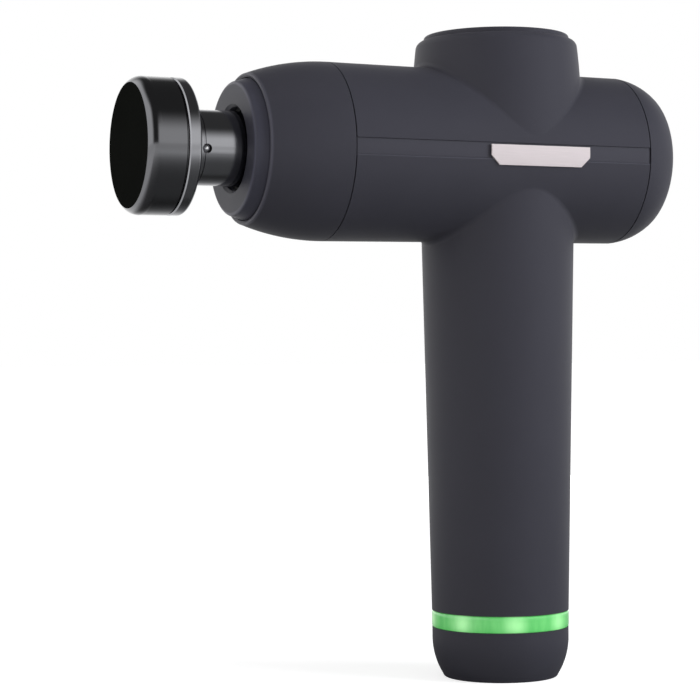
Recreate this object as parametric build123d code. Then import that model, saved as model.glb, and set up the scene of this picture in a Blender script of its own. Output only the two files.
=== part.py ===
"""A cordless massage gun: T-shaped body, battery handle, motor boss on top and a reciprocating head.

Millimetres, +Z up. The origin is the centre of the flat base face. The barrel's axis runs along X at
height AXIS_Z, with the massage head towards -X. The motor's axis is Z.
"""
from build123d import *
import math
import os

# Driving dimensions: outside of the body
AXIS_Z = 188.1            # height of the barrel's axis
TOTAL_Z = 232.0           # top of the cap
WALL = 2.4                # moulded wall
SEAM = 0.2                # half the line left between two shells
FRONT_SEAM, REAR_SEAM = -69.2, 46.4
BARREL_FRONT_R, BARREL_REAR_R = 31.4, 30.6
NOSE_X, NOSE_LIP_X = -102.8, -98.4
OPENING_R = 14.5          # opening round the stem
BOSS_R, BOSS_TOP_R, BOSS_TOP_Z = 30.5, 29.3, 227.6
CAP_R = 26.3
HANDLE_LOW_R, HANDLE_HIGH_R = 24.8, 27.5
HANDLE_LOW_Z, HANDLE_HIGH_Z = 24.1, 154.0
RING_LOW_Z, RING_HIGH_Z = 18.0, 23.9
BASE_FLAT_R, BASE_R = 20.2, 24.7
SPLIT_Z = AXIS_Z - 0.6    # parting plane of the barrel's two shells
BAND_LOW, BAND_HIGH, BAND_DEPTH = -3.4, 2.2, 0.9
BAND_GAP = 0.1            # clearance above and below the trim strip
BAND_SUNK = 0.45          # how far the strip lies below the shells

# Driving dimensions: drive
CRANK_R = 6.0             # throw of the crank
ROLLER_R, SLOT_HALF = 5.0, 5.6
SHAFT_R = 2.5
DISC_LOW_Z = 193.7        # underside of the crank disc
RAM_R, RAM_BORE_R = 13.0, 8.5
RAM_FRONT_X, RAM_REAR_X = -119.0, -62.0
PLATE_Z, PLATE_T, PLATE_R = 198.5, 3.0, 25.4
BELL_R, BELL_LOW_Z, BELL_HIGH_Z = 24.0, 204.0, 224.0
RUN = 0.05                # radial clearance of a running fit

# Driving dimensions: battery and base
CELL_R, CELL_L, CELL_RING_R = 9.0, 65.0, 10.5
CELL_LOW_Z, CELL_HIGH_Z = 31.5, 99.5
LAMPS, LAMP_START = 8, 30.0   # lamps behind the light ring, and the angle of the first

X_AXIS = Axis((0, 0, AXIS_Z), (1, 0, 0))


def outline(steps):
    """Closed face in the XZ plane. A step is a point, or a pair of points: the middle and end of an arc."""
    edges, here = [], steps[0]
    for step in steps[1:] + steps[:1]:
        if isinstance(step[0], tuple):
            middle, end = step
            edges.append(ThreePointArc(*((x, 0, z) for x, z in (here, middle, end))))
        else:
            end = step
            edges.append(Line((here[0], 0, here[1]), (end[0], 0, end[1])))
        here = end
    return make_face(Curve() + edges)


def lathe_z(steps, x=0.0, y=0.0):
    """Turned about the vertical through (x, y); the steps are (radius, height)."""
    return Pos(x, y, 0) * revolve(outline(steps), Axis.Z)


def lathe_x(steps):
    """Turned about the barrel's axis; the steps are (x, radius)."""
    return Pos(0, 0, AXIS_Z) * revolve(outline(steps), Axis.X)


def rod_z(radius, low, high, x=0.0, y=0.0):
    return Pos(x, y, (low + high) / 2) * Cylinder(radius, high - low)


def rod_x(radius, low, high, y=0.0, z=0.0):
    """Cylinder along X; y and z are measured from the barrel's axis."""
    return Pos((low + high) / 2, y, AXIS_Z + z) * Rot(0, 90, 0) * Cylinder(radius, high - low)


def block(low, high):
    size = [b - a for a, b in zip(low, high)]
    return Pos(*((a + b) / 2 for a, b in zip(low, high))) * Box(*size)


def ring_places(count, radius, start=0.0):
    """Places evenly spaced on a circle, as pairs."""
    angles = [math.radians(start + 360 * k / count) for k in range(count)]
    return [(radius * math.cos(a), radius * math.sin(a)) for a in angles]


def joined(pieces):
    """One body from overlapping pieces."""
    whole = pieces[0]
    for piece in pieces[1:]:
        whole = whole + piece
    return whole


def cut(body, tools):
    for tool in tools:
        body = body - tool
    return body


# ---- Outer shells -------------------------------------------------------------------------------
def barrel_radius(x):
    share = (x - FRONT_SEAM) / (REAR_SEAM - FRONT_SEAM)
    return BARREL_FRONT_R + share * (BARREL_REAR_R - BARREL_FRONT_R)


def barrel(offset, over=0.0):
    """The barrel's cone between its two seams, grown by offset and made longer by over at each end."""
    low, high = FRONT_SEAM + SEAM - over, REAR_SEAM - SEAM + over
    return lathe_x([(low, 0), (low, barrel_radius(low) + offset),
                    (high, barrel_radius(high) + offset), (high, 0)])


def boss(offset):
    top = BOSS_TOP_Z + 2.6
    round_mid = (BOSS_TOP_R - 0.9 + offset, BOSS_TOP_Z + 1.8)
    return lathe_z([(0, AXIS_Z), (BOSS_R + offset, AXIS_Z), (BOSS_R + offset, 206),
                    ((BOSS_R - 0.25 + offset, 217), (BOSS_TOP_R + offset, BOSS_TOP_Z)),
                    (round_mid, (BOSS_TOP_R - 2.7 + offset, top)), (0, top)])


def handle_radius(z):
    share = (z - HANDLE_LOW_Z) / (HANDLE_HIGH_Z - HANDLE_LOW_Z)
    return HANDLE_LOW_R + share * (HANDLE_HIGH_R - HANDLE_LOW_R)


def handle(offset, low=HANDLE_LOW_Z):
    return lathe_z([(0, low), (handle_radius(low) + offset, low),
                    (handle_radius(AXIS_Z) + offset, AXIS_Z), (0, AXIS_Z)])


FRONT_SCREWS = [(24.6 * math.cos(a), 24.6 * math.sin(a))
                for a in (math.radians(d) for d in (45, 135, 225, 315))]
REAR_SCREWS = ring_places(4, 17.2, 45)
BASE_SCREWS = ring_places(3, 15.0, 90)


def body_shell():
    """Barrel, boss and handle as one hollow body, before it is parted."""
    outside = joined([barrel(0), boss(0), handle(0)])
    saddles = [e for e in outside.edges()
               if e.geom_type not in (GeomType.CIRCLE, GeomType.LINE) and e.length > 20]
    outside = fillet(saddles, 2.2)
    inside = joined([barrel(-WALL, 5), boss(-WALL), handle(-WALL, HANDLE_LOW_Z + 3.4)])
    bore = rod_z(CAP_R - 0.2, BOSS_TOP_Z - 4, TOTAL_Z + 5)
    seat = rod_z(CAP_R + 0.05, BOSS_TOP_Z + 1.0, TOTAL_Z + 5)
    wires = rod_z(9, HANDLE_LOW_Z - 1, HANDLE_LOW_Z + 5)
    shell = cut(outside, [inside, bore, seat, wires])
    shell = shell + (lathe_z([(25.6, 202.4), (28.6, 202.4), (28.6, 204.4), (26.6, 204.4)]))
    front = lathe_x([(FRONT_SEAM + SEAM, 19.5), (FRONT_SEAM + SEAM, 30), (FRONT_SEAM + SEAM + 3, 30),
                     (FRONT_SEAM + SEAM + 3, 19.5)])
    rear = lathe_x([(REAR_SEAM - SEAM - 3, 13), (REAR_SEAM - SEAM - 3, 29), (REAR_SEAM - SEAM, 29),
                    (REAR_SEAM - SEAM, 13)])
    shell = joined([shell, front, rear])
    holes = [rod_x(1.25, -74, -60, y, z) for y, z in FRONT_SCREWS]
    holes += [rod_x(1.25, 40, 50, y, z) for y, z in REAR_SCREWS]
    holes += [rod_z(1.25, 20, 30, x, y) for x, y in BASE_SCREWS]
    band = block((-80, -40, AXIS_Z + BAND_LOW - BAND_GAP), (60, 40, AXIS_Z + BAND_HIGH + BAND_GAP))
    return cut(shell, [*holes, band - barrel(-BAND_DEPTH, 5)])


def trim_strip(side):
    """The strip that hides the parting line along one side of the barrel."""
    skin = barrel(-BAND_SUNK, -0.1) - barrel(-BAND_DEPTH, 5)
    low, high = sorted((side * 20, side * 40))
    return skin & block((-80, low, AXIS_Z + BAND_LOW), (60, high, AXIS_Z + BAND_HIGH))


def name_plate():
    """A blank plate stuck over the strip: straight top edge, lower corners cut off."""
    x0, x1, top, low, corner, thick = -18.2, 20.9, 1.5, -5.6, 3.3, 0.7
    face = make_face(Polyline([(x0, top), (x1, top), (x1, low + corner), (x1 - corner, low),
                               (x0 + corner, low), (x0, low + corner)], close=True))
    prism = Pos(0, -40, AXIS_Z) * Rot(90, 0, 0) * extrude(face, -20)
    skin = barrel(thick, 5) - barrel(0, 5)
    tongue = block((x0 + 1, -40, AXIS_Z + BAND_LOW), (x1 - 1, 0, AXIS_Z + top))
    bed = tongue & (barrel(0.3, 5) - barrel(-BAND_SUNK, 5))
    return (prism & skin) + bed


def front_outer(x):
    """Radius of the front housing: a long arc that starts level with the barrel."""
    arc_r = 83.0
    reach = x - FRONT_SEAM
    return BARREL_FRONT_R - arc_r + math.sqrt(arc_r ** 2 - reach ** 2)


def front_housing():
    seam = FRONT_SEAM - SEAM
    arc_end = NOSE_LIP_X + 0.7
    middle = (seam + arc_end) / 2
    shell = lathe_x([(seam, front_outer(seam)),
                     ((middle, front_outer(middle)), (arc_end, front_outer(arc_end))),
                     ((NOSE_LIP_X + 0.1, 26.0), (NOSE_LIP_X, 25.4)), (NOSE_LIP_X + 0.3, 24.8),
                     (-96.6, 24.8), (-96.6, 17.4), (-94.1, 17.4), (-94.1, front_outer(-94.1) - WALL - 0.6),
                     ((-83, front_outer(-83) - WALL), (-73, front_outer(-73) - WALL)),
                     (-72.4, 28.0), (-72.4, 19.5), (seam, 19.5)])
    return cut(shell, [rod_x(1.4, -80, -60, y, z) for y, z in FRONT_SCREWS])


def nose_ring():
    return lathe_x([(NOSE_X, OPENING_R + 1.0), (NOSE_X, 22.2),
                    ((NOSE_X + 0.35, 22.95), (NOSE_X + 1.1, 23.4)), (NOSE_LIP_X + 0.2, 24.5),
                    (-96.6, 24.5), (-96.6, 17.2), (-99.6, 17.2), (-99.6, OPENING_R),
                    (NOSE_X + 1.0, OPENING_R)])


def dust_seal():
    return lathe_x([(-99.5, 13.4), (-99.5, 17.2), (-96.6, 17.2), (-96.6, 14.4), (-98.2, 14.2)])


WINDOW_X = 61.4


def rear_cover():
    seam = REAR_SEAM + SEAM
    start = barrel_radius(seam)
    shell = lathe_x([(seam, start), ((52.6, start - 1.5), (57.2, 26.6)),
                     ((59.9, 23.9), (WINDOW_X, 20.2)), (WINDOW_X, 19.2), (60.0, 19.2), (60.0, 7.8),
                     (57.6, 7.8), (57.6, 21.5), ((54.5, 25.3), (50.0, start - WALL - 0.6)),
                     (seam, start - WALL)])
    columns = [rod_x(3.0, seam, 58, y, z) for y, z in REAR_SCREWS]
    posts = [rod_x(1.2, 55.6, 58, y, z) for y, z in ((11, 0), (-11, 0))]
    holes = [rod_x(1.45, 40, 65, y, z) for y, z in REAR_SCREWS]
    heads = [rod_x(1.95, 58.4, 65, y, z) for y, z in REAR_SCREWS]
    lights = [rod_x(1.3, 50, 65, y, z) for y, z in LIGHT_PLACES]
    return cut(joined([shell, *columns, *posts]), holes + heads + lights)


LIGHT_PLACES = [(12.2 * math.sin(math.radians(d)), 12.2 * math.cos(math.radians(d)))
                for d in (-48, -24, 0, 24, 48)]


def display_window():
    return lathe_x([(60.0, 6.3), (60.0, 19.1), (WINDOW_X - 0.2, 19.1),
                    ((WINDOW_X + 0.5, 12.5), (WINDOW_X + 0.8, 6.3))])


def display_board():
    board = rod_x(14, 54.0, 55.6)
    switch = block((55.6, -3, AXIS_Z - 3), (57.2, 3, AXIS_Z + 3))
    chips = [rod_x(0.9, 55.6, 57.0, y, z) for y, z in LIGHT_PLACES]
    driver = block((52.6, -5, AXIS_Z - 9), (54.0, 3, AXIS_Z - 3))
    return joined([board, switch, driver, *chips])


def speed_button():
    return lathe_x([(58.5, 0), (58.5, 7.0), (59.3, 7.0), (59.3, 6.0), (62.4, 6.0),
                    ((62.754, 5.854), (62.9, 5.5)), (62.9, 4.6), (62.6, 4.0), (62.6, 0)])


def top_cap():
    skirt = CAP_R - 0.3
    return lathe_z([(0, TOTAL_Z), (CAP_R - 0.9, TOTAL_Z),
                    ((CAP_R - 0.25, TOTAL_Z - 0.3), (CAP_R, TOTAL_Z - 0.9)),
                    (CAP_R, BOSS_TOP_Z + 1.0), (skirt, BOSS_TOP_Z + 1.0), (skirt, BOSS_TOP_Z - 3),
                    (skirt - 1.6, BOSS_TOP_Z - 3), (skirt - 1.6, TOTAL_Z - 2.4), (0, TOTAL_Z - 2.4)])


def led_ring():
    return lathe_z([(HANDLE_LOW_R - WALL, RING_LOW_Z + 0.1), (HANDLE_LOW_R, RING_LOW_Z + 0.1),
                    (HANDLE_LOW_R, RING_HIGH_Z), (HANDLE_LOW_R - WALL, RING_HIGH_Z)])


BUTTON_AT, SOCKET_AT = (-7.0, 0.0), (7.0, 0.0)


def base_cap():
    arc_z, arc_r = 14.4, 25.8
    centre = BASE_R - arc_r
    low_z = 0.8
    low_r = centre + math.sqrt(arc_r ** 2 - (arc_z - low_z) ** 2)
    mid_r = centre + math.sqrt(arc_r ** 2 - (arc_z - 7) ** 2)
    shell = lathe_z([(0, 0), (BASE_FLAT_R - 0.5, 0), ((BASE_FLAT_R + 0.25, 0.2), (low_r, low_z)),
                     ((mid_r, 7), (BASE_R, arc_z)), (BASE_R, RING_LOW_Z), (BASE_R - WALL, RING_LOW_Z),
                     (BASE_R - WALL, arc_z), ((mid_r - WALL, 7.5), (low_r - 2.0, 3.4)), (0, 3.4)])
    columns = [rod_z(3.4, 3.0, 19.4, x, y) for x, y in BASE_SCREWS]
    columns += [rod_z(2.5, 19.0, HANDLE_LOW_Z, x, y) for x, y in BASE_SCREWS]
    posts = [rod_z(1.5, 3, 7, x, y) for x, y in ((0, -9), (0, 8))]
    holes = [rod_z(1.25, -1, 30, x, y) for x, y in BASE_SCREWS]
    heads = [rod_z(2.6, -1, 3.0, x, y) for x, y in BASE_SCREWS]
    inlets = [rod_z(4.8, -1, 5, *BUTTON_AT), rod_z(4.2, -1, 5, *SOCKET_AT)]
    return cut(joined([shell, *columns, *posts]), [*holes, *heads, *inlets])


def led_board():
    board = cut(rod_z(20.6, 19.4, 21.0) - rod_z(5, 19, 22),
                [rod_z(2.6, 19, 22, x, y) for x, y in BASE_SCREWS])
    chips = [Rot(0, 0, LAMP_START + 360 / LAMPS * k) * block((18.0, -1.4, 21.0), (20.4, 1.4, 22.4))
             for k in range(LAMPS)]
    return joined([board, *chips])


def charge_board():
    board = rod_z(12.0, 7.0, 8.6)
    board = cut(board, [rod_z(3.7, 6, 9, x, y) for x, y in BASE_SCREWS])
    switch = block((BUTTON_AT[0] - 3, -3, 5.5), (BUTTON_AT[0] + 3, 3, 7.0))
    chip = block((-2, -4, 8.6), (6, 4, 10.2))
    return joined([board, switch, chip])


def charge_socket():
    x, y = SOCKET_AT
    tube = rod_z(4.2, 0.9, 7.0, x, y) - rod_z(2.9, 0, 6.0, x, y)
    return tube + rod_z(0.8, 2.4, 6.5, x, y)


def power_button():
    x, y = BUTTON_AT
    button = rod_z(4.5, 0.3, 3.6, x, y) + rod_z(5.4, 3.5, 4.3, x, y)
    return fillet(button.faces().sort_by(Axis.Z)[0].edges(), 0.3)


# ---- Drive ---------------------------------------------------------------------------------------
FRAME_SCREWS = ring_places(4, 17.3)
MOTOR_SCREWS = ring_places(4, 9.5, 45)
END_X, END_T = -52.0, 4.0


def drive_frame():
    top = PLATE_Z + PLATE_T
    plate = rod_z(PLATE_R, PLATE_Z, top)
    tongue = block((END_X, -13, PLATE_Z), (0, 13, top))
    wall = rod_x(21.5, END_X, END_X + END_T)
    leg = block((23, -9, AXIS_Z - 9), (29, 9, top))
    ribs = [block((END_X, y - 1.5, PLATE_Z), (-31, y + 1.5, top + 3)) for y in (-11.5, 11.5)]
    holes = [rod_z(SHAFT_R + 3.5, PLATE_Z - 1, top + 1), rod_x(8.5, END_X - 1, END_X + END_T + 1),
             rod_x(7.0, 20, 32)]
    holes += [rod_x(1.0, END_X - 1, END_X + END_T + 1, y, z) for y, z in FRAME_SCREWS]
    holes += [rod_z(1.0, PLATE_Z - 1, top + 1, x, y) for x, y in MOTOR_SCREWS]
    holes += [rod_z(3.5, PLATE_Z - 1, top + 1, x, y) for x, y in ring_places(6, 19, 30)]
    bell_room = rod_z(BELL_R + 1, BELL_LOW_Z - 1.2, 230)
    return cut(joined([plate, tongue, wall, leg, *ribs]), [*holes, bell_room])


def guide_tube():
    tube = lathe_x([(-94.1, RAM_R + 3), (-94.1, 23.4), (-91.6, 23.4), (-91.6, 18.6), (END_X, 18.6),
                    (END_X, RAM_R + 3)])
    return cut(tube, [rod_x(1.0, -62, END_X + 1, y, z) for y, z in FRAME_SCREWS])


def ram_bushes():
    """Two plain bushes that carry the ram."""
    inner, outer = RAM_R + RUN, RAM_R + 3
    return [lathe_x([(low, inner), (low, outer), (low + 10, outer), (low + 10, inner)])
            for low in (-93.6, -79.0)]


def rear_bush():
    return lathe_x([(22.0, 4 + RUN), (22.0, 9.0), (23.0, 9.0), (23.0, 7.0), (29.0, 7.0),
                    (29.0, 4 + RUN)])


def damper_ring():
    """Rubber tyre between the drive frame and the shell, open where the frame's arms pass."""
    tyre = lathe_z([(PLATE_R, PLATE_Z - 0.6), (PLATE_R + 2.5, PLATE_Z - 0.6), (PLATE_R + 2.5, 202.4),
                    (PLATE_R, 202.4)])
    return cut(tyre, [block((-40, -13.2, 190), (0, 13.2, 210)), block((0, -9.2, 190), (40, 9.2, 210))])


def bearing_tube():
    top = PLATE_Z + PLATE_T
    tube = lathe_z([(5.0, top), (12.5, top), (12.5, top + 1.5), (6.5, top + 1.5), (6.5, 220.0),
                    (5.0, 220.0)])
    return cut(tube, [rod_z(1.0, top - 1, top + 3, x, y) for x, y in MOTOR_SCREWS])


def motor_bearings():
    """Two ball bearings, each as one closed ring."""
    inner = SHAFT_R + 0.03
    return [lathe_z([(inner, low), (5.0, low), (5.0, low + 4), (inner, low + 4)])
            for low in (202.0, 215.5)]


STATOR_LOW, STATOR_HIGH, STATOR_R, TEETH = 207.5, 217.5, 20.0, 12


def motor_stator():
    """Laminated core: a hub, twelve teeth and their curved tips."""
    hub = rod_z(9.5, STATOR_LOW, STATOR_HIGH)
    tooth = block((8, -1.6, STATOR_LOW), (19, 1.6, STATOR_HIGH))
    rim = rod_z(STATOR_R, STATOR_LOW, STATOR_HIGH) - rod_z(STATOR_R - 1.8, 200, 230)
    slots = [Rot(0, 0, 30 * k + 15) * block((15, -0.9, 200), (25, 0.9, 230)) for k in range(TEETH)]
    core = joined([hub, *[Rot(0, 0, 30 * k) * tooth for k in range(TEETH)]])
    return (core + cut(rim, slots)) - rod_z(6.5, 200, 230)


def motor_windings():
    """One copper coil round each tooth."""
    low, high = STATOR_LOW - 1.8, STATOR_HIGH + 1.8
    coil = block((11.2, -2.7, low), (17.6, 2.7, high)) - block((5, -1.6, STATOR_LOW), (20, 1.6, STATOR_HIGH))
    return [Rot(0, 0, 30 * k) * coil for k in range(TEETH)]


def rotor_bell():
    bell = lathe_z([(SHAFT_R, 221.4), (BELL_R - 2, 221.4), (BELL_R - 2, BELL_LOW_Z),
                    (BELL_R, BELL_LOW_Z), (BELL_R, BELL_HIGH_Z - 1.5), (BELL_R - 1.5, BELL_HIGH_Z),
                    (SHAFT_R, BELL_HIGH_Z)])
    return cut(bell, [rod_z(3.4, 220, 226, x, y) for x, y in ring_places(6, 13.5)])


def rotor_magnets():
    """Fourteen magnets glued inside the bell."""
    ring = rod_z(BELL_R - 2, 206.5, 218.5) - rod_z(BELL_R - 3.6, 200, 230)
    return [ring & (Rot(0, 0, 360 / 14 * k) * block((15, -4.3, 206.5), (25, 4.3, 218.5)))
            for k in range(14)]


def motor_shaft():
    return rod_z(SHAFT_R, DISC_LOW_Z, BELL_HIGH_Z)


def crank_disc():
    """Eccentric with its counterweight on the side away from the pin."""
    low, high = DISC_LOW_Z, DISC_LOW_Z + 4.4
    hub = rod_z(10.5, low, high)
    weight = rod_z(20, low, high) & block((-20, -20, low), (20, -3, high))
    disc = joined([hub, weight])
    return cut(disc, [rod_z(SHAFT_R, 190, 200), rod_z(2, 190, 200, 0, CRANK_R)])


def crank_pin():
    return rod_z(2.0, AXIS_Z - 3.5, DISC_LOW_Z + 4.4, 0, CRANK_R)


def crank_roller():
    return rod_z(ROLLER_R, AXIS_Z - 3.1, AXIS_Z + 3.1, 0, CRANK_R) - rod_z(2.0, 180, 200, 0, CRANK_R)


def yoke():
    """Scotch yoke: a slotted block between a front rod and a rear guide rod."""
    slab = fillet(block((-9.8, -16.5, AXIS_Z - 4), (9.8, 16.5, AXIS_Z + 4)).edges().filter_by(Axis.Z), 2.5)
    slot = block((-SLOT_HALF, -11.8, AXIS_Z - 5), (SLOT_HALF, 11.8, AXIS_Z + 5))
    rods = [rod_x(5.0, RAM_REAR_X, -9.5), rod_x(3.98, 9.5, 37)]
    return joined([slab - slot, *rods])


BALL_X, BALL_R, BALL_TURN = -116.2, 1.5, 6.5   # the last is how far below the side it sits, in degrees


def in_ball_hole(radius, piece):
    """A piece whose own axis is Z, put at a radius in the ball's hole."""
    turn = math.radians(BALL_TURN)
    place = Pos(BALL_X, -radius * math.cos(turn), AXIS_Z - radius * math.sin(turn))
    return place * Rot(90 + BALL_TURN, 0, 0) * piece


def ram_sleeve():
    """Stem that carries the massage head: socket in front, hollow behind."""
    body = lathe_x([(RAM_FRONT_X, RAM_BORE_R + 0.8), (RAM_FRONT_X, RAM_R - 0.8),
                    (RAM_FRONT_X + 0.8, RAM_R), (-117.3, RAM_R), (-117.1, RAM_R - 0.35),
                    (-116.7, RAM_R - 0.35), (-116.5, RAM_R), (RAM_REAR_X, RAM_R), (RAM_REAR_X, 10.4),
                    (-86, 10.4), (-86, 0), (-90, 0), (-90, RAM_BORE_R), (RAM_FRONT_X + 0.8, RAM_BORE_R)])
    plug = lathe_x([(RAM_REAR_X - 5, 0), (RAM_REAR_X - 5, 10.4), (RAM_REAR_X, 10.4), (RAM_REAR_X, 0)])
    hole = in_ball_hole(10.5, Cylinder(BALL_R + 0.15, 7))
    return cut(body, [hole]) + plug


def detent_ball():
    return in_ball_hole(RAM_R - 1.7, Sphere(BALL_R))


def detent_spring():
    """Spring clip that wraps the ball's hole, drawn as a thin washer."""
    ring = Cylinder(BALL_R + 0.15, 0.5) - Cylinder(BALL_R - 0.45, 1)
    return in_ball_hole(RAM_BORE_R + 0.75, ring)


# ---- Massage head -------------------------------------------------------------------------------
FACE_X, HEAD_R, JOINT_X, HEAD_REAR_X = -140.0, 23.5, -126.0, -121.5
RING_PLACES = (-112.0, -103.0)


def head_disc():
    """Flat front of the head: face, rounded edge and a hollow back."""
    return lathe_x([(FACE_X, 0), (FACE_X, 21.3), ((FACE_X + 1.3, 22.7), (FACE_X + 4.6, HEAD_R)),
                    (JOINT_X - 0.9, HEAD_R), (JOINT_X - 0.5, HEAD_R - 0.4), (JOINT_X - 0.5, 22.4),
                    (JOINT_X + 0.0, 22.4), (JOINT_X + 0.0, 20.6), (FACE_X + 5, 20.0), (FACE_X + 2.6, 18.0),
                    (FACE_X + 2.6, 0)])


def head_ring():
    """Rear plate of the head, with a neck towards the stem."""
    plate = lathe_x([(JOINT_X, 5.0), (JOINT_X, 22.4), (JOINT_X + 0.1, HEAD_R - 0.4),
                     (JOINT_X + 0.5, HEAD_R), (HEAD_REAR_X - 1.2, HEAD_R),
                     ((HEAD_REAR_X - 0.3, HEAD_R - 0.4), (HEAD_REAR_X, HEAD_R - 1.3)),
                     (HEAD_REAR_X, 12.0), (HEAD_REAR_X + 0.9, 11.0), (HEAD_REAR_X + 1.7, 11.0),
                     (HEAD_REAR_X + 1.7, 5.0)])
    return plate


def head_plug():
    """Plug with two ring grooves that pushes into the stem."""
    grooves = []
    for x in RING_PLACES:
        grooves += [(x - 1.0, 8.4), (x - 1.0, 7.1), (x + 1.0, 7.1), (x + 1.0, 8.4)]
    return lathe_x([(JOINT_X - 2.0, 2.0), (JOINT_X - 2.0, 8.0), (JOINT_X, 8.0), (JOINT_X, 5.0),
                    (HEAD_REAR_X + 1.7, 5.0), (HEAD_REAR_X + 1.7, 8.4), *grooves, (-96.5, 8.4),
                    (-95.5, 7.4), (-95.5, 5.0), (-110, 5.0), (-110, 2.0)])


def head_o_rings():
    ring = 0.68
    return [Pos(x, 0, AXIS_Z) * Rot(0, 90, 0) * Torus(7.1 + ring, ring) for x in RING_PLACES]


# ---- Battery and boards -------------------------------------------------------------------------
CELL_PLACES = ring_places(3, CELL_RING_R, 30)


def battery_cells():
    """Six cells in two layers of three, each with its raised terminal."""
    cells = []
    for low in (CELL_LOW_Z, CELL_HIGH_Z):
        for x, y in CELL_PLACES:
            can = rod_z(CELL_R, low, low + CELL_L - 0.8, x, y)
            cells.append(can + rod_z(4.0, low, low + CELL_L, x, y))
    return cells


def battery_holders():
    """Three plates with cups for the cells' ends."""
    plates = []
    for low, high, radius in ((27.6, 34.5, 22.2), (93.6, 102.4, 22.6), (161.4, 167.0, 23.8)):
        plate = rod_z(radius, low, high)
        cups = []
        for x, y in CELL_PLACES:
            for floor in (CELL_LOW_Z, CELL_HIGH_Z):
                cups.append(rod_z(CELL_R + 0.04, floor, floor + CELL_L, x, y))
        channel = [rod_z(2.6, low - 1, high + 1, x, y) for x, y in ring_places(3, 18.2, 90)]
        plates.append(cut(plate, cups + channel))
    return plates


def cell_links():
    """Nickel strips down the channels between the cells."""
    return [Rot(0, 0, angle) * block((17.2, -1.6, 35), (17.6, 1.6, 93)) for angle in (90, 210, 330)]


def controller_board():
    board = rod_z(21.0, 167.0, 168.6)
    parts = [block((x - 2.5, y - 2.2, 168.6), (x + 2.5, y + 2.2, 170.2)) for x, y in ring_places(6, 15.5)]
    parts += [block((-4, -4, 168.6), (4, 4, 170.0)), rod_z(2.6, 168.6, 178, 8, 8), rod_z(2.6, 168.6, 178, -8, 8)]
    return joined([board, *parts])


# ---- Fasteners ----------------------------------------------------------------------------------
def screw_z(x, y, tip, seat, head_r, head_t, shank_r=1.2):
    """Pan-head screw whose head is at the seat, on the side away from the tip."""
    sign = 1 if seat > tip else -1
    low, high = sorted((tip, seat))
    h0, h1 = sorted((seat, seat + sign * head_t))
    screw = rod_z(shank_r, low, high, x, y) + rod_z(head_r, h0, h1, x, y)
    face = seat + sign * head_t
    d0, d1 = sorted((face, face - sign * head_t * 0.5))
    return screw - (Pos(x, y, (d0 + d1) / 2) * extrude(RegularPolygon(head_r * 0.45, 6), (d1 - d0) / 2, both=True))


def screw_x(y, z, tip, seat, head_r, head_t, shank_r=1.2):
    sign = 1 if seat > tip else -1
    low, high = sorted((tip, seat))
    h0, h1 = sorted((seat, seat + sign * head_t))
    return rod_x(shank_r, low, high, y, z) + rod_x(head_r, h0, h1, y, z)


def front_screws():
    return [screw_x(y, z, -64.5, -72.4, 2.2, 1.4) for y, z in FRONT_SCREWS]


def rear_screws():
    return [screw_x(y, z, 43.4, 58.4, 1.8, 1.4) for y, z in REAR_SCREWS]


def frame_screws():
    return [screw_x(y, z, -61.0, END_X + END_T, 1.9, 1.2, 1.0) for y, z in FRAME_SCREWS]


def motor_screws():
    top = PLATE_Z + PLATE_T + 1.5
    return [screw_z(x, y, PLATE_Z + 0.2, top, 1.9, 1.1, 1.0) for x, y in MOTOR_SCREWS]


def base_screws():
    return [screw_z(x, y, 27.0, 3.0, 2.4, 1.6) for x, y in BASE_SCREWS]


# ---- Writing ------------------------------------------------------------------------------------
def split_shells():
    shell = body_shell()
    above = shell & block((-100, -60, SPLIT_Z), (100, 60, 260))
    below = shell & block((-100, -60, 0), (100, 60, SPLIT_Z - 0.05))
    return above, below


def main():
    os.makedirs("parts", exist_ok=True)
    upper, lower = split_shells()
    nodes = {
        "upper_housing": upper, "lower_housing": lower, "front_housing": front_housing(),
        "nose_ring": nose_ring(), "dust_seal": dust_seal(), "rear_cover": rear_cover(),
        "top_cap": top_cap(), "base_cap": base_cap(), "led_ring": led_ring(), "led_board": led_board(),
        "trim_strip_left": trim_strip(-1), "trim_strip_right": trim_strip(1),
        "name_plate": name_plate(), "display_window": display_window(),
        "display_board": display_board(), "speed_button": speed_button(),
        "charge_board": charge_board(), "charge_socket": charge_socket(),
        "power_button": power_button(), "drive_frame": drive_frame(), "guide_tube": guide_tube(),
        "ram_bushes": ram_bushes(), "rear_bush": rear_bush(), "damper_ring": damper_ring(),
        "bearing_tube": bearing_tube(), "motor_bearings": motor_bearings(),
        "motor_stator": motor_stator(), "motor_windings": motor_windings(),
        "rotor_bell": rotor_bell(), "rotor_magnets": rotor_magnets(), "motor_shaft": motor_shaft(),
        "crank_disc": crank_disc(), "crank_pin": crank_pin(), "crank_roller": crank_roller(),
        "yoke": yoke(), "ram_sleeve": ram_sleeve(), "detent_ball": detent_ball(),
        "detent_spring": detent_spring(), "head_disc": head_disc(), "head_ring": head_ring(),
        "head_plug": head_plug(), "head_o_rings": head_o_rings(), "battery_cells": battery_cells(),
        "battery_holders": battery_holders(), "cell_links": cell_links(),
        "controller_board": controller_board(), "front_screws": front_screws(),
        "rear_screws": rear_screws(), "frame_screws": frame_screws(), "motor_screws": motor_screws(),
        "base_screws": base_screws(),
    }
    for name, shape in nodes.items():
        if isinstance(shape, list):
            shape = Compound(children=[s for piece in shape for s in piece.solids()])
        export_step(shape, f"parts/{name}.step")
    print(len(nodes), "nodes written")


main()
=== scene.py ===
import math

import bpy
from mathutils import Matrix, Vector


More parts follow.
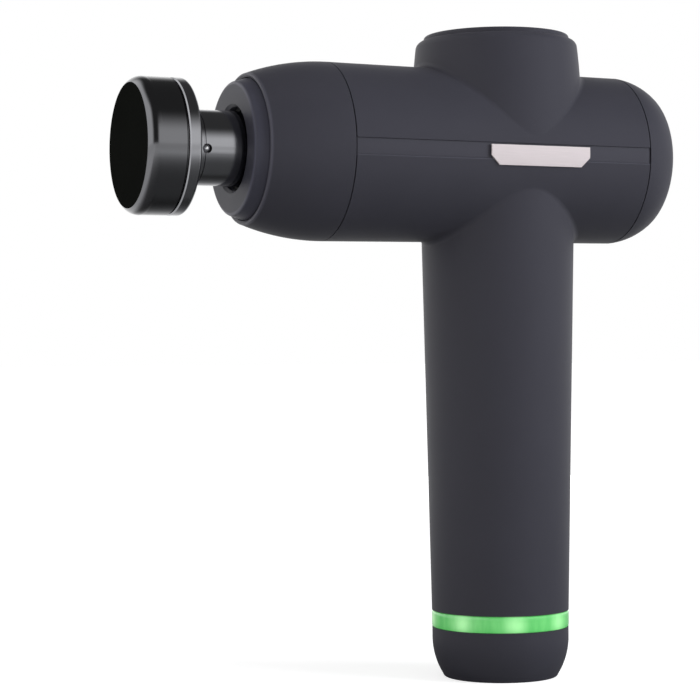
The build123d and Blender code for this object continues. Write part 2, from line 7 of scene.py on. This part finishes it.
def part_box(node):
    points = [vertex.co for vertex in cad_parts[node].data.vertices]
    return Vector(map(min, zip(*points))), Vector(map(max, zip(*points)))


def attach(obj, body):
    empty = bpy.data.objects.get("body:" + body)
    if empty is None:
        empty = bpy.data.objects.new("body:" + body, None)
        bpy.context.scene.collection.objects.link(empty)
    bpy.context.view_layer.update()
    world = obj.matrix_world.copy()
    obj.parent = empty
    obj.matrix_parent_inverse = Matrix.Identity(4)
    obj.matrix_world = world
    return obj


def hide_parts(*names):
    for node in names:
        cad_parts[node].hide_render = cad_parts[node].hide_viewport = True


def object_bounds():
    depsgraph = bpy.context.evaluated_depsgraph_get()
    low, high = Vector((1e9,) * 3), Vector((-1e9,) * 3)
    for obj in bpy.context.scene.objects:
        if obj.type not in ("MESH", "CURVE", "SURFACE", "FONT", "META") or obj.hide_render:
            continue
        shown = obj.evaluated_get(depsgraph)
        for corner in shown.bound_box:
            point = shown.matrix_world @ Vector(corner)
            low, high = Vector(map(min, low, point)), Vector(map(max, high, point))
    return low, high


# %% [markdown]
# A massage gun is a soft-touch plastic body round a motor, with a polished stem and head in front.
# The engineering model gives every part its true shape and place, so the work here is finish, light
# and the small pieces that the engineering model leaves plain. Load it first and measure it.

# %% Load the frame
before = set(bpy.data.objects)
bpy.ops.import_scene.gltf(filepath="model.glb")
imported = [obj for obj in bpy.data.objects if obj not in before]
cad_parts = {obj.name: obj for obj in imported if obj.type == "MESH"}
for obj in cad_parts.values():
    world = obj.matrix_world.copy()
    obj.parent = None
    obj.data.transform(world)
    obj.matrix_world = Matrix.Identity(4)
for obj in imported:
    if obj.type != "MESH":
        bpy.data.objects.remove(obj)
cad_low, cad_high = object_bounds()
MM = 0.001
barrel_low, barrel_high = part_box("ram_sleeve")
AXIS_Z = (barrel_low.z + barrel_high.z) / 2
print("object", [round(v, 4) for v in (*cad_low, *cad_high)], "barrel axis at", round(AXIS_Z, 4))

# %% [markdown]
# The camera stands to the left of the gun and looks slightly along the barrel, with a long lens.
# Its place is given as a distance along its own heading, so that each number means one thing.

# %% Camera
HEADING = math.radians(23.5)
PITCH = math.radians(-0.19)
ROLL = math.radians(-0.42)
DISTANCE, ASIDE, HEIGHT = 0.7898, 0.0539, 0.1159
SENSOR_MM, LENS_MM = 36.0, 111.7

ahead = Vector((math.sin(HEADING), math.cos(HEADING), 0))
right = Vector((math.cos(HEADING), -math.sin(HEADING), 0))
look = Vector((ahead.x * math.cos(PITCH), ahead.y * math.cos(PITCH), -math.sin(PITCH)))
up = right.cross(look)
cam_x = right * math.cos(ROLL) + up * math.sin(ROLL)
cam_y = up * math.cos(ROLL) - right * math.sin(ROLL)
camera = bpy.data.objects.new("camera", bpy.data.cameras.new("camera"))
bpy.context.scene.collection.objects.link(camera)
camera.data.sensor_width = SENSOR_MM
camera.data.lens = LENS_MM
camera.data.clip_start = 0.05
camera.matrix_world = (Matrix.Translation(-ahead * DISTANCE - right * ASIDE + Vector((0, 0, HEIGHT)))
                       @ Matrix((cam_x, cam_y, -look)).transposed().to_4x4())
bpy.context.scene.camera = camera
bpy.context.scene.view_settings.view_transform = "Standard"
print("camera at", [round(v, 3) for v in camera.matrix_world.translation])

# %% [markdown]
# Shader maths is easier to read as a formula than as a picture of boxes. `Value` wraps one socket,
# so `0.5 + grain * 0.1` adds the two Math nodes by itself. `Graph` makes every other node, with
# settings first and inputs after them, and `Finish` is a graph that belongs to one material.


# %% Shader maths
class Value:
    """One socket; arithmetic on it adds Math nodes to its tree."""

    def __init__(self, graph, socket):
        self.graph, self.socket = graph, socket

    def maths(self, operation, *values):
        return self.graph.node("ShaderNodeMath", {"operation": operation}, values)

    def __add__(self, other):
        return self.maths("ADD", self, other)

    def __sub__(self, other):
        return self.maths("SUBTRACT", self, other)

    def __rsub__(self, other):
        return self.maths("SUBTRACT", other, self)

    def __mul__(self, other):
        return self.maths("MULTIPLY", self, other)

    def __pow__(self, other):
        return self.maths("POWER", self, other)

    def below(self, edge):
        return self.maths("LESS_THAN", self, edge)

    def cosine(self):
        return self.maths("COSINE", self)

    def step(self, low, high):
        """0 below low, 1 above high and a smooth rise between them."""
        return self.graph.node("ShaderNodeMapRange", {"interpolation_type": "SMOOTHSTEP"},
                                {"Value": self, "From Min": low, "From Max": high})

    __radd__, __rmul__ = __add__, __mul__


class Graph:
    """A node tree: `node` makes any node, with its settings first and its inputs after them."""

    def __init__(self, tree):
        self.tree = tree

    def node(self, kind, settings=None, inputs=(), out=0):
        made = self.tree.nodes.new(kind)
        for key, value in (settings or {}).items():
            setattr(made, key, value)
        pairs = inputs.items() if isinstance(inputs, dict) else enumerate(inputs)
        for key, value in pairs:
            if isinstance(value, Value):
                self.tree.links.new(value.socket, made.inputs[key])
            else:
                made.inputs[key].default_value = value
        return Value(self, made.outputs[out])

    def split(self, vector):
        return [self.node("ShaderNodeSeparateXYZ", None, [vector], out) for out in range(3)]

    def brightest(self, *values):
        most = values[0]
        for value in values[1:]:
            most = most.maths("MAXIMUM", most, value)
        return most

    def rays(self):
        """1 for a camera ray, for a reflected ray and for one that comes through glass."""
        return [self.node("ShaderNodeLightPath", out=f"Is {kind} Ray")
                for kind in ("Camera", "Glossy", "Transmission")]


class Finish(Graph):
    """A material under construction."""

    def __init__(self, name):
        self.material = bpy.data.materials.new(name)
        self.material.use_nodes = True
        super().__init__(self.material.node_tree)
        self.shader = self.tree.nodes["Principled BSDF"]
        self.plain = Value(self, self.shader.outputs[0])
        self.place = self.node("ShaderNodeTexCoord", out="Object")

    def axes(self):
        return self.split(self.place)

    def grain(self, size_mm, detail=2.0, stretch=(1, 1, 1)):
        """Noise whose blotches are about size_mm across, longer where stretch is small."""
        spread = self.node("ShaderNodeMapping", None, {"Vector": self.place, "Scale": stretch})
        return self.node("ShaderNodeTexNoise", None,
                         {"Vector": spread, "Scale": 1 / (size_mm * MM), "Detail": detail})

    def blend(self, factor, first, second):
        """Colour that goes from first to second with the factor."""
        pick = [v if isinstance(v, Value) else (*v, 1.0) for v in (first, second)]
        return self.node("ShaderNodeMix", {"data_type": "RGBA"}, {0: factor, 6: pick[0], 7: pick[1]}, 2)

    def bump(self, height, depth_mm, strength=1.0):
        return self.node("ShaderNodeBump", None,
                         {"Height": height, "Distance": depth_mm * MM, "Strength": strength})

    def use(self, **sockets):
        """Base_Color=... and so on: links a Value, or sets a number on the shader's own socket."""
        for name, value in sockets.items():
            socket = self.shader.inputs[name.replace("_", " ")]
            if isinstance(value, Value):
                self.tree.links.new(value.socket, socket)
            else:
                socket.default_value = value
        return self.material

    def surface(self, shader):
        """Shows another shader in place of the plain one."""
        self.tree.links.new(shader.socket, self.tree.nodes["Material Output"].inputs["Surface"])
        return self.material


def tint(colour, factor):
    return tuple(min(1.0, c * factor) for c in colour)


# %% [markdown]
# The body is plastic under a soft-touch coat: almost no gloss, a very fine grain that breaks up the
# highlight, a faint cloudiness from handling, and a little sheen at grazing angles. Three pieces get
# a painted highlight along one edge: a lighter, slightly glossier line that stands in for the light
# caught by the rounded edge.


# %% Soft-touch coat
def soft_coat(name, colour, rough=0.54, grain_mm=0.32, sheen=0.03, painted_highlight=None):
    coat = Finish(name)
    fine = coat.grain(grain_mm)
    cloud = coat.grain(26.0, 3.0)
    shade = coat.blend(cloud, tint(colour, 0.90), tint(colour, 1.10))
    shade = coat.blend(fine.step(0.62, 0.74) * 0.35, shade, tint(colour, 1.5))
    polish = rough + (fine - 0.5) * 0.10 + (cloud - 0.5) * 0.08
    # painted highlight: a lighter, glossier line along the edge, standing in for the light it catches
    if painted_highlight:
        edge = painted_highlight(coat) * (cloud * 0.5 + 0.6)
        shade = coat.blend(edge, shade, tint(colour, HIGHLIGHT_GAIN))
        polish = polish - edge * 0.14
    return coat.use(Base_Color=shade, Roughness=polish, Normal=coat.bump(fine, 0.012, 0.55),
                    Specular_IOR_Level=0.22, Sheen_Weight=sheen, Sheen_Roughness=0.4)


def bell(value, centre_mm, half_mm):
    """1 at the centre and 0 beyond half_mm on either side."""
    centre, half = centre_mm * MM, half_mm * MM
    return value.step(centre - half, centre) * (1 - value.step(centre, centre + half))


def from_axis(finish):
    """Distance from the barrel's axis."""
    _, y, z = finish.axes()
    return (y * y + (z - AXIS_Z) * (z - AXIS_Z)) ** 0.5


# Masks for the painted edge highlights: the edge of the nose ring's flat face, the front housing's lip and
# the parting line of the lower housing.
def nose_edge_highlight(finish):
    return bell(from_axis(finish), NOSE_FLAT_R, 0.7)


def lip_edge_highlight(finish):
    x = finish.axes()[0]
    return 1 - x.step(LIP_X + 0.3 * MM, LIP_X + 1.3 * MM)


def parting_edge_highlight(finish):
    _, y, z = finish.axes()
    return bell(z, AXIS_Z / MM + BAND_LOW, 0.45) * (y * y).step((20 * MM) ** 2, (24 * MM) ** 2)


# The gain is how much lighter the painted edge highlight line is than the coat.
CHARCOAL, HIGHLIGHT_GAIN = (0.0376, 0.0366, 0.0468), 2.0
NOSE_FLAT_R, BAND_LOW = 22.5, -3.5
LIP_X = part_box("front_housing")[0].x
body_coat = soft_coat("soft_touch_charcoal", CHARCOAL)
front_coat = soft_coat("soft_touch_front", tint(CHARCOAL, 0.97), painted_highlight=lip_edge_highlight)
lower_coat = soft_coat("soft_touch_lower", CHARCOAL, painted_highlight=parting_edge_highlight)
nose_coat = soft_coat("soft_touch_nose", (0.0450, 0.0445, 0.0610), rough=0.46, painted_highlight=nose_edge_highlight)
strip_coat = soft_coat("strip_satin", tint(CHARCOAL, 1.12), rough=0.42, grain_mm=0.5)
print("coats", body_coat.name, nose_coat.name, strip_coat.name)

# %% [markdown]
# The stem and the head's rim are turned on a lathe, polished and plated dark. Turning leaves very
# fine rings round the axis, so the grain is squeezed along X and long round it. The front face of
# the head is not polished: it has a dark olive matte finish, chosen by its place along X.


# %% Turned metal
def turned_metal(name, colour, rough=0.16, ring_mm=0.22, metallic=1.0):
    metal = Finish(name)
    rings = metal.grain(ring_mm, 2.0, (1, 0.02, 0.02))
    smear = metal.grain(9.0, 3.0)
    shade = metal.blend(smear, tint(colour, 0.93), tint(colour, 1.07))
    return metal.use(Base_Color=shade, Metallic=metallic,
                     Roughness=rough + (rings - 0.5) * 0.06 + (smear - 0.5) * 0.05,
                     Normal=metal.bump(rings, 0.004, 0.35))


def head_metal(name, rim, face):
    metal = Finish(name)
    on_face = metal.axes()[0].below(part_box("head_disc")[0].x + 0.03 * MM)
    rings = metal.node("ShaderNodeTexNoise", {"noise_dimensions": "1D"},
                       {"W": from_axis(metal), "Scale": 5200.0})
    side, smear = metal.grain(0.22, 2.0, (1, 0.02, 0.02)), metal.grain(14.0, 3.0)
    metal.use(Base_Color=metal.blend(smear, tint(rim, 0.94), tint(rim, 1.06)), Metallic=1.0,
              Roughness=0.13 + (smear - 0.5) * 0.05, Normal=metal.bump(side, 0.004, 0.35))
    shade = metal.blend(smear, tint(face, 0.88), tint(face, 1.14))
    matte = metal.node("ShaderNodeBsdfPrincipled", None,
                       {"Base Color": shade, "Roughness": 0.40 + rings * 0.08,
                        "Normal": metal.bump(rings, 0.004, 0.3), "Specular IOR Level": 0.0})
    return metal.surface(metal.node("ShaderNodeMixShader", None, [on_face, metal.plain, matte]))


GUNMETAL = (0.28, 0.282, 0.298)
stem_metal = turned_metal("gunmetal_stem", GUNMETAL, 0.15)
head_finish = head_metal("gunmetal_head", tint(GUNMETAL, 0.52), (0.0095, 0.0100, 0.0089))
bright_steel = turned_metal("bright_steel", (0.66, 0.66, 0.68), 0.14)
frame_alloy = turned_metal("machined_alloy", (0.60, 0.61, 0.63), 0.34, 0.6)
print("metals", stem_metal.name, head_finish.name)

# %% [markdown]
# The ring above the base is a clear green lens over eight small lamps on the board behind it. Each
# lamp brightens the lens in front of it, so the glow follows the angle round the handle.

# %% Green lens
LAMPS, LAMP_START = 8, math.radians(30)


def lens_green():
    lens = Finish("green_lens")
    x, y, z = lens.axes()
    angle = lens.node("ShaderNodeMath", {"operation": "ARCTAN2"}, [y, x])
    lamp = (((angle - LAMP_START) * LAMPS).cosine() * 0.5 + 0.5) ** 2.8
    low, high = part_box("led_ring")
    middle, half = (low.z + high.z) / 2, (high.z - low.z) / 2
    edge = 1 - ((z - middle) * (1 / half)) ** 2 * 0.55
    streak = lens.grain(3.0, 2.0, (1, 1, 0.25))
    glow = (lamp * 0.75 + streak * 0.35) * edge
    light = lens.blend(glow, (0.03, 0.27, 0.04), (0.58, 1.0, 0.52))
    return lens.use(Base_Color=lens.blend(streak, (0.06, 0.38, 0.09), (0.11, 0.50, 0.13)),
                    Roughness=0.12 + streak * 0.08, Emission_Color=light, Emission_Strength=0.62,
                    Coat_Weight=0.4, Coat_Roughness=0.06)


green_lens = lens_green()
print("lens over", LAMPS, "lamps")

# %% [markdown]
# The plate on the side is blank: pale pink-white, lightly brushed along its length. The rear window
# is smoked and glossy, and its faint mottling comes from the film behind it. Rubber, board lacquer
# and cell wrap are seen only when the gun is opened, and get simpler versions of the same ideas.


# %% Other finishes
def brushed_plate():
    plate = Finish("blank_plate_satin")
    lines = plate.grain(0.16, 2.0, (0.02, 1, 1))
    shade = plate.blend(lines, (0.53, 0.47, 0.475), (0.655, 0.585, 0.59))
    return plate.use(Base_Color=shade, Roughness=0.30 + lines * 0.12, Metallic=0.12,
                     Normal=plate.bump(lines, 0.006, 0.3))


def gloss_shell(name, colour, rough=0.08):
    shell = Finish(name)
    film = shell.grain(4.0, 3.0)
    return shell.use(Base_Color=shell.blend(film, tint(colour, 0.8), tint(colour, 1.25)),
                     Roughness=rough + film * 0.04, Coat_Weight=0.5, Coat_Roughness=0.04)


def plain_moulded(name, colour, rough=0.5, grain_mm=0.6):
    part = Finish(name)
    fine, cloud = part.grain(grain_mm), part.grain(12.0)
    return part.use(Base_Color=part.blend(cloud, tint(colour, 0.88), tint(colour, 1.12)),
                    Roughness=rough + (fine - 0.5) * 0.12, Normal=part.bump(fine, 0.01, 0.4))


plate_satin = brushed_plate()
window_black = gloss_shell("smoked_window", (0.012, 0.012, 0.014))
key_satin = plain_moulded("key_satin", (0.060, 0.061, 0.070), 0.36, 0.4)
seal_rubber = plain_moulded("seal_rubber", (0.018, 0.018, 0.019), 0.72)
board_green = plain_moulded("board_lacquer", (0.03, 0.16, 0.07), 0.32)
copper_wire = turned_metal("enamelled_copper", (0.62, 0.27, 0.12), 0.3, 0.5)
cell_wrap = gloss_shell("cell_wrap", (0.08, 0.22, 0.42), 0.3)
white_moulded = plain_moulded("white_moulded", (0.60, 0.60, 0.57), 0.5)
bronze = turned_metal("sintered_bronze", (0.55, 0.40, 0.20), 0.4, 0.5)
print(len(bpy.data.materials), "finishes so far")

# %% [markdown]
# Every node of the engineering model takes a finish by putting the material in its object's slots.
# The table goes by finish, because most finishes are shared by several parts.

# %% Dress the parts
FINISH_OF = {
    body_coat: "upper_housing rear_cover top_cap base_cap",
    front_coat: "front_housing",
    lower_coat: "lower_housing",
    nose_coat: "nose_ring",
    strip_coat: "trim_strip_left trim_strip_right",
    head_finish: "head_disc",
    stem_metal: "ram_sleeve head_plug head_ring",
    bright_steel: "detent_ball detent_spring motor_bearings motor_shaft crank_disc crank_pin crank_roller"
                  " rotor_bell charge_socket base_screws front_screws rear_screws frame_screws"
                  " motor_screws cell_links rotor_magnets motor_stator",
    frame_alloy: "drive_frame bearing_tube yoke",
    green_lens: "led_ring",
    plate_satin: "name_plate",
    window_black: "display_window",
    key_satin: "speed_button power_button",
    seal_rubber: "dust_seal damper_ring head_o_rings",
    board_green: "led_board display_board charge_board controller_board",
    copper_wire: "motor_windings",
    cell_wrap: "battery_cells",
    white_moulded: "battery_holders guide_tube ram_bushes",
    bronze: "rear_bush",
}
dressed = 0
for finish, names in FINISH_OF.items():
    for name in names.split():
        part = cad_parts[name]
        part.data.materials.clear()
        part.data.materials.append(finish)
        dressed += 1
print(dressed, "of", len(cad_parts), "parts dressed")

# %% [markdown]
# Two pieces follow a rule, so Geometry Nodes make them. `Shape` is a geometry tree with named
# sizes. It runs once on an empty carrier, which is then thrown away, and leaves a plain mesh.


# %% Geometry trees
class Shape(Graph):
    """A geometry tree whose sizes are named inputs; `made` turns it into a plain mesh object."""

    def __init__(self, name, **sizes):
        super().__init__(bpy.data.node_groups.new(name, "GeometryNodeTree"))
        self.name, self.sizes = name, sizes
        for key in sizes:
            self.tree.interface.new_socket(key, in_out="INPUT", socket_type="NodeSocketFloat")
        self.tree.interface.new_socket("Geometry", in_out="OUTPUT", socket_type="NodeSocketGeometry")
        entry = self.tree.nodes.new("NodeGroupInput")
        self.size = {key: Value(self, entry.outputs[key]) for key in sizes}

    def join_xyz(self, x, y, z):
        return self.node("ShaderNodeCombineXYZ", None, [x, y, z])

    def made(self, geometry, material):
        whole = self.node("GeometryNodeRealizeInstances", None, [geometry])
        smooth = self.node("GeometryNodeSetShadeSmooth", None, [whole])
        painted = self.node("GeometryNodeSetMaterial", None, {"Geometry": smooth, "Material": material})
        leave = self.tree.nodes.new("NodeGroupOutput")
        self.tree.links.new(painted.socket, leave.inputs[0])
        carrier = bpy.data.objects.new(self.name + "_carrier", bpy.data.meshes.new(self.name))
        bpy.context.scene.collection.objects.link(carrier)
        modifier = carrier.modifiers.new("shape", "NODES")
        modifier.node_group = self.tree
        for item in self.tree.interface.items_tree:
            if item.in_out == "INPUT":
                modifier[item.identifier] = float(self.sizes[item.name])
        ready = carrier.evaluated_get(bpy.context.evaluated_depsgraph_get())
        mesh = bpy.data.meshes.new_from_object(ready)
        carrier.modifiers.remove(modifier)
        bpy.data.objects.remove(carrier)
        piece = bpy.data.objects.new(self.name, mesh)
        bpy.context.scene.collection.objects.link(piece)
        print(self.name, len(mesh.polygons), "faces")
        return piece


# %% [markdown]
# The green lens is a ring whose section is a superellipse: nearly a rectangle, with a slightly
# crowned outer face and soft corners, so its light rolls off at the edges. A flat grid is bent
# round: one way gives the angle round the handle, the other the place on the section.

# %% Crowned lens
AROUND, SECTION, SQUARENESS = 256, 48, 0.30
LENS_WALL, WELD = 2.4 * MM, 0.002 * MM


def crowned_lens():
    low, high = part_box("led_ring")
    shape = Shape("green_lens_ring", Outer=(high.x - low.x) / 2, Wall=LENS_WALL, Low=low.z,
                  High=high.z, Squareness=SQUARENESS)
    size = shape.size
    flat = shape.node("GeometryNodeMeshGrid", None,
                      {"Size X": 1.0, "Size Y": 1.0, "Vertices X": AROUND, "Vertices Y": SECTION})
    u, v, _ = shape.split(shape.node("GeometryNodeInputPosition"))
    turn, swing = u * (2 * math.pi), v * (2 * math.pi)

    def rounded(wave):
        strength = wave.maths("ABSOLUTE", wave) ** size["Squareness"]
        return wave.maths("SIGN", wave) * strength

    radius = size["Outer"] - size["Wall"] * 0.5 + rounded(swing.cosine()) * size["Wall"] * 0.5
    middle_z, height = (size["Low"] + size["High"]) * 0.5, size["High"] - size["Low"]
    z = middle_z + rounded(swing.maths("SINE", swing)) * height * 0.5
    place = shape.join_xyz(radius * turn.cosine(), radius * turn.maths("SINE", turn), z)
    bent = shape.node("GeometryNodeSetPosition", None, {"Geometry": flat, "Position": place})
    closed = shape.node("GeometryNodeMergeByDistance", None, {"Geometry": bent, "Distance": WELD})
    return shape.made(closed, green_lens)


lens_ring = crowned_lens()
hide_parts("led_ring")
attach(lens_ring, "gun_body")

# %% [markdown]
# Five small lights show the speed in the rear window. They sit on an arc round the key, at even
# angles, and two of the five are lit.

# %% Speed lights
LIGHTS = 5
LIGHT_R, LIGHT_PROUD = 0.75 * MM, 0.22   # the second is how flat the bead is, against a ball
ARC_R, ARC_STEP, SUNK = 12.2 * MM, math.radians(24), 0.34 * MM
LIT_FROM, LIT_FULL = 2.0 * MM, 2.4 * MM   # how far to one side of the key the lit ones start


def speed_glow():
    glow = Finish("speed_light")
    lit = (glow.axes()[1] * -1).step(LIT_FROM, LIT_FULL)
    speck = glow.grain(0.8)
    colour = glow.blend(lit, (0.03, 0.06, 0.035), (0.40, 0.95, 0.42))
    return glow.use(Base_Color=(0.05, 0.09, 0.055, 1), Emission_Color=colour, Emission_Strength=0.8,
                    Roughness=0.18 + speck * 0.1)


def speed_lights():
    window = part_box("display_window")[1].x
    shape = Shape("speed_lights", Reach=ARC_R, Step=ARC_STEP, Window=window - SUNK, Radius=LIGHT_R,
                  Proud=LIGHT_PROUD)
    size = shape.size
    row = shape.node("GeometryNodeMeshLine", None, {"Count": LIGHTS})
    turn = (shape.node("GeometryNodeInputIndex") - (LIGHTS - 1) / 2) * size["Step"]
    place = shape.join_xyz(size["Window"], turn.maths("SINE", turn) * size["Reach"],
                           turn.cosine() * size["Reach"] + AXIS_Z)
    arc = shape.node("GeometryNodeSetPosition", None, {"Geometry": row, "Position": place})
    bead = shape.node("GeometryNodeMeshUVSphere", None,
                      {"Segments": 24, "Rings": 12, "Radius": size["Radius"]})
    beads = shape.node("GeometryNodeInstanceOnPoints", None,
                       {"Points": arc, "Instance": bead, "Scale": shape.join_xyz(size["Proud"], 1.0, 1.0)})
    return shape.made(beads, speed_glow())


lights_row = speed_lights()
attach(lights_row, "gun_body")

# %% [markdown]
# Light: one broad soft box in front on the right, which is why the gun's right edges are the
# lighter ones, a weaker one on the left, a long one overhead, a low wide one in front and another
# behind, so that the far side is not left in the dark.


# %% Lights
def soft_box(name, place, target, width, height, power, colour=(1, 1, 1)):
    lamp = bpy.data.objects.new(name, bpy.data.lights.new(name, "AREA"))
    lamp.data.shape = "RECTANGLE"
    lamp.data.size, lamp.data.size_y = width, height
    lamp.data.energy = power
    lamp.data.color = colour
    lamp.location = place
    lamp.rotation_euler = (Vector(target) - Vector(place)).to_track_quat("-Z", "Y").to_euler()
    lamp.visible_glossy = False
    bpy.context.scene.collection.objects.link(lamp)


def around(degrees, distance, height):
    """A place at an angle to the right of the camera's heading, seen from the gun."""
    turn = math.radians(degrees)
    back = -ahead * math.cos(turn) + right * math.sin(turn)
    return back * distance + Vector((0, 0, height))


middle = Vector((-0.02, 0, 0.12))
soft_box("key_right", around(69, 0.9, 0.45), middle, 0.5, 0.8, 8.3, (0.96, 1.0, 1.05))
soft_box("fill_left", around(-55, 1.0, 0.30), middle, 0.4, 0.6, 1.4)
soft_box("top_bar", around(0, 0.20, 0.95), middle, 0.9, 0.30, 1.7)
soft_box("front_bar", around(-8, 1.3, 0.20), middle, 0.9, 0.42, 2.6)
soft_box("back_fill", around(180, 1.3, 0.22), middle, 1.0, 0.5, 3.2)
print("soft boxes placed")

# %% [markdown]
# Polished metal shows the room and not the lights, so the world answers three kinds of ray. The
# camera sees plain white. Matt surfaces get an even fill. A reflection sees a studio: dark above
# and behind the camera, a white sheet behind the gun, a pale card in front on the right and another
# beside it, and a tall one on the left that draws the bright crescent on the head's rounded edge.

# %% World
FILL, DARK, LEFT_CARD, FRONT_CARD, RIGHT_CARD = 0.33, 0.08, 1.4, 1.15, 0.8
world = bpy.data.worlds.new("studio")
bpy.context.scene.world = world
world.use_nodes = True
studio = Graph(world.node_tree)
direction = studio.node("ShaderNodeTexCoord", out="Generated")
behind, aside = [studio.node("ShaderNodeVectorMath", {"operation": "DOT_PRODUCT"}, [direction, way], "Value")
                 for way in (ahead, right)]
above = studio.split(direction)[2]
camera_ray, glossy_ray, clear_ray = studio.rays()
sheet = behind.step(0.30, 0.65) * (1 - above.step(0.35, 0.75))
front_card = (1 - behind.step(-0.45, 0.05)) * aside.step(0.15, 0.50) * (1 - above.step(0.30, 0.80))
left_card = (1 - behind.step(0.65, 0.95)) * (1 - aside.step(-0.60, -0.25)) * (1 - above.step(0.70, 0.92))
right_card = aside.step(0.55, 0.85) * (1 - above.step(0.30, 0.70))
room = studio.brightest(sheet, front_card * FRONT_CARD, left_card * LEFT_CARD, right_card * RIGHT_CARD)
mirrored = studio.brightest(glossy_ray, clear_ray) * (room + DARK)
unseen = 1 - studio.brightest(camera_ray, glossy_ray, clear_ray)
backdrop = world.node_tree.nodes["Background"]
backdrop.inputs["Color"].default_value = (1, 1, 1, 1)
studio.tree.links.new((camera_ray + mirrored + unseen * FILL).socket, backdrop.inputs["Strength"])
print("world fill", FILL)

# %% [markdown]
# The floor is a plain pale sheet at the height of the base. It adds a little light of its own where
# the camera sees it, so that it meets the white background and still keeps the gun's soft shadow.
# From underneath it is clear, and it lights the base that stands on it, so the base can be seen.

# %% Floor
FLOOR_HALF, BASE_R = 30.0, 0.019
FLOOR_LIGHT, FLOOR_RISE, FLOOR_MIRRORED = 0.74, 0.26, 0.9
floor_mesh = bpy.data.meshes.new("floor")
corners = [(-1, -1), (1, -1), (1, 1), (-1, 1)]
floor_mesh.from_pydata([(x * FLOOR_HALF, y * FLOOR_HALF, cad_low.z) for x, y in corners], [], [(0, 1, 2, 3)])
floor = bpy.data.objects.new("floor", floor_mesh)
bpy.context.scene.collection.objects.link(floor)
pale = Finish("pale_floor")
camera_ray, glossy_ray, clear_ray = pale.rays()
px, py, _ = pale.axes()
spread = (px * px + py * py) ** 0.5
past = px * ahead.x + py * ahead.y
left_of = (px * right.x + py * right.y) * -1
mirrored = pale.brightest(glossy_ray, clear_ray)
sheen = pale.brightest(spread.step(0.12, 0.80), past.step(0.05, 0.35) * 0.7, left_of.step(0.18, 0.34) * 1.2)
pale.use(Base_Color=pale.blend(mirrored, (0.55, 0.55, 0.55), (0.17, 0.17, 0.17)),
         Roughness=0.9, Specular_IOR_Level=0.0)
lift = (camera_ray * (FLOOR_LIGHT + spread.step(0.25, 1.6) * FLOOR_RISE)
        + mirrored * sheen * FLOOR_MIRRORED + spread.below(BASE_R) * FILL)
glow = pale.node("ShaderNodeEmission", None, {"Color": (1, 1, 1, 1), "Strength": lift})
both = pale.node("ShaderNodeAddShader", None, [pale.plain, glow])
from_below = pale.node("ShaderNodeNewGeometry", out="Backfacing")
clear = pale.node("ShaderNodeBsdfTransparent")
floor_mesh.materials.append(pale.surface(pale.node("ShaderNodeMixShader", None, [from_below, both, clear])))
print("floor at", round(cad_low.z, 5))
